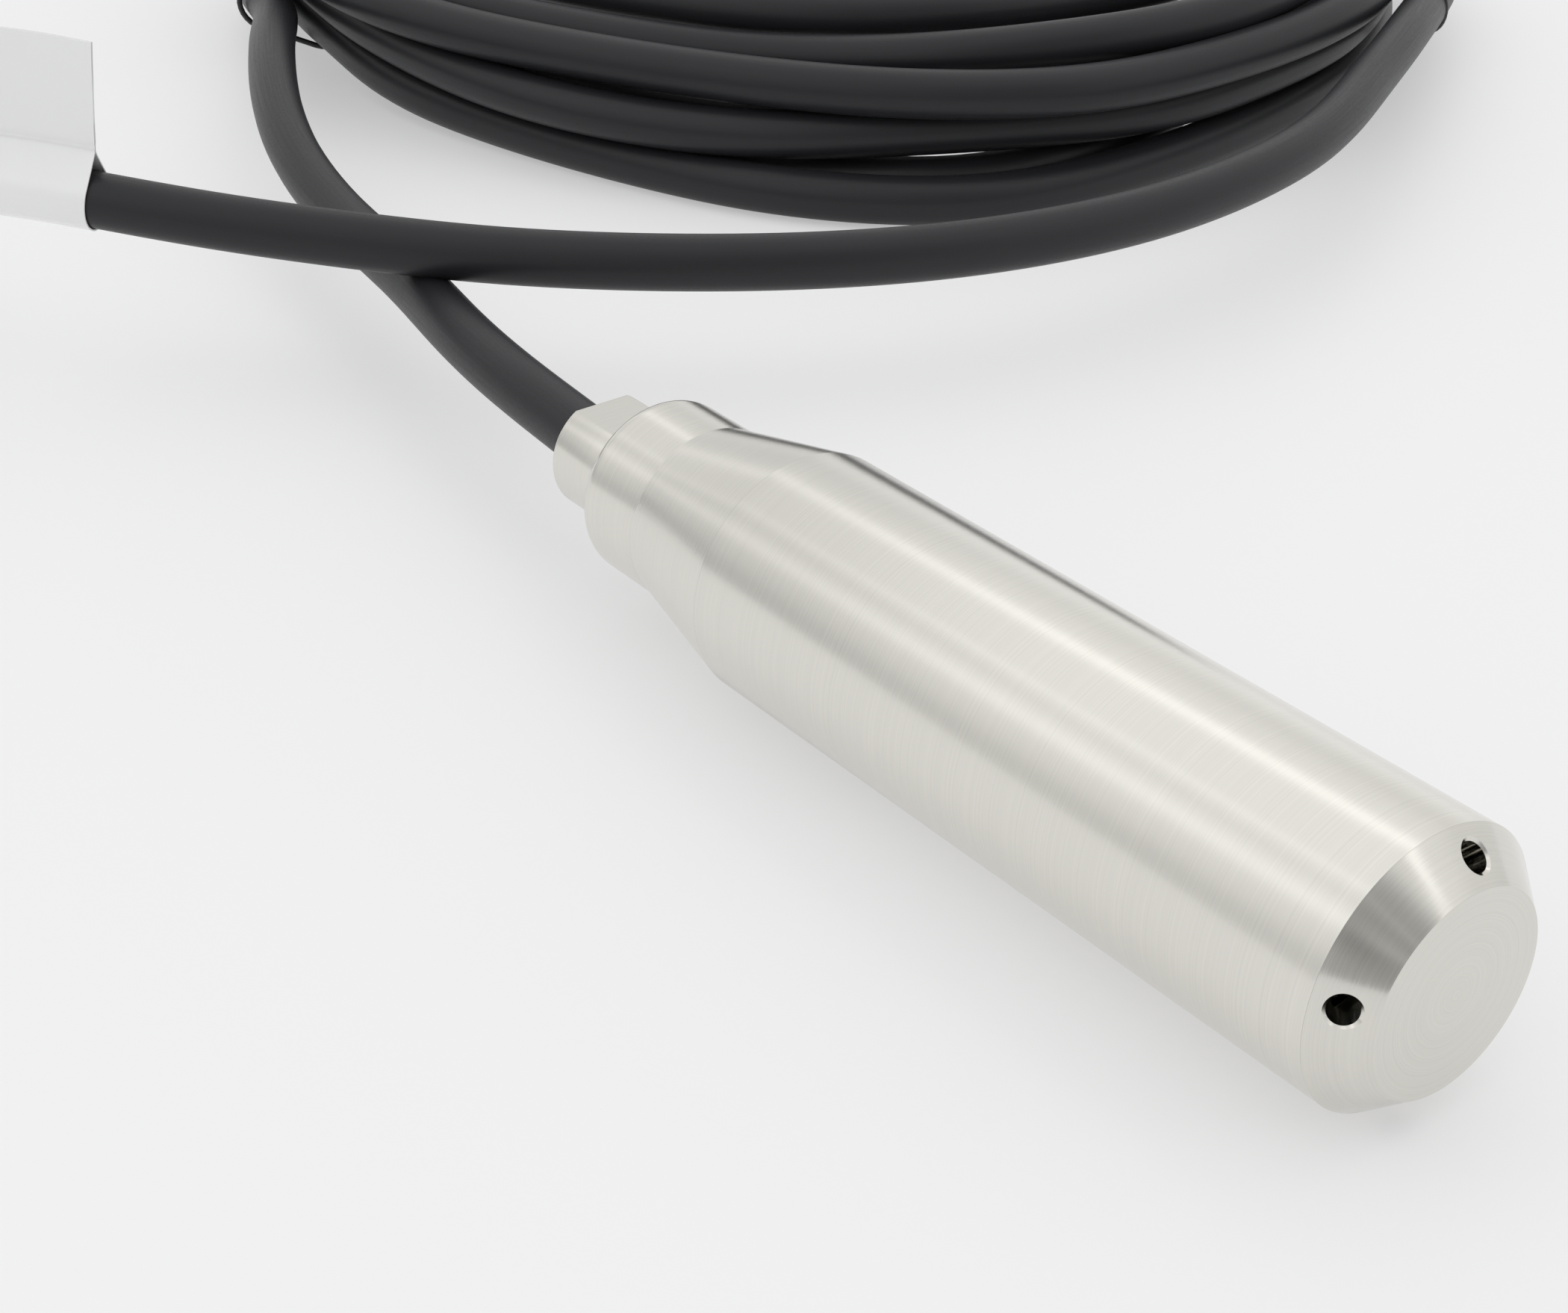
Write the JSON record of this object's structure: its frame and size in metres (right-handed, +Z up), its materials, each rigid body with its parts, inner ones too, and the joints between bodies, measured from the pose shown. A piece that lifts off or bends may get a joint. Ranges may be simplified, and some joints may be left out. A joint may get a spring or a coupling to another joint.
{
  "type": "submersible level transmitter",
  "caption": "Stainless submersible level probe with a bevelled, drilled nose cap, tapered tail, cable gland and a coiled black vented cable that carries a blank flag label.",
  "frame": {"origin": "on the floor under the middle of the steel probe", "axes": "+X along the probe's axis, towards its nose; +Z up as it lies on a flat surface"},
  "size_m": [0.379, 0.3559, 0.0499],
  "materials": {
    "steel": "satin turned",
    "foil": "thin pressed foil",
    "gold_plate": "gold plated",
    "seal_rubber": "matt moulded",
    "cable_jacket": "matt extruded jacket",
    "liner_plastic": "natural plastic",
    "board_green": "solder resist",
    "chip_black": "matt moulded",
    "trimmer_blue": "moulded",
    "terminal_green": "moulded",
    "capacitor_grey": "sleeved can",
    "red_insulation": "extruded",
    "black_insulation": "extruded",
    "blue_insulation": "extruded",
    "green_insulation": "extruded",
    "pale_insulation": "extruded",
    "tube_plastic": "natural plastic",
    "label_film": "glossy white film"
  },
  "bodies": {
    "probe": {"housing_tube": "steel", "retaining_ring": "steel", "sensor_cell": "steel", "sensor_diaphragm": "foil", "sensor_oring": "seal_rubber", "sensor_pin_1": "gold_plate", "sensor_pin_2": "gold_plate", "sensor_pin_3": "gold_plate", "sensor_pin_4": "gold_plate", "reference_tube": "steel", "sensor_wire_1": "red_insulation", "sensor_wire_2": "blue_insulation", "sensor_wire_3": "pale_insulation", "sensor_wire_4": "green_insulation", "insulating_sleeve": "liner_plastic", "circuit_board": "board_green", "amplifier_chip": "chip_black", "transmitter_chip": "chip_black", "surge_diode": "chip_black", "zero_trimmer": "trimmer_blue", "span_trimmer": "trimmer_blue", "terminal_block": "terminal_green", "capacitor_1": "capacitor_grey", "capacitor_2": "capacitor_grey", "tail_adapter": "steel", "tail_oring": "seal_rubber", "washer_front": "steel", "grommet": "seal_rubber", "washer_rear": "steel", "gland_nut": "steel", "cable_root": "cable_jacket", "supply_wire_red": "red_insulation", "supply_wire_black": "black_insulation", "shield_wire": "pale_insulation", "breather_tube": "tube_plastic", "cable_lead": "cable_jacket", "cable_coil": "cable_jacket", "cable_tail": "cable_jacket", "tie_left": "black_insulation", "tie_right": "black_insulation", "cable_label": "label_film", "core_wire_red": "red_insulation", "core_wire_black": "black_insulation", "core_wire_shield": "pale_insulation", "vent_tube_end": "tube_plastic"},
    "cap_ring": {"cap_oring": "seal_rubber"},
    "cap": {"nose_cap": "steel"}
  },
  "joints": [
    {"name": "cap_advance", "type": "slide", "parent": "probe", "child": "cap_ring", "axis": [1, 0, 0], "range_m": [0, 0.009]},
    {"name": "cap_turn", "type": "hinge", "parent": "cap_ring", "child": "cap", "pos_m": [0.06325, 0, 0.014], "axis": [1, 0, 0], "range_deg": [0, 2160]}
  ],
  "couplings": [
    {"joint": "cap_advance", "follows": "cap_turn", "m_per_rad": 0.0002387}
  ]
}
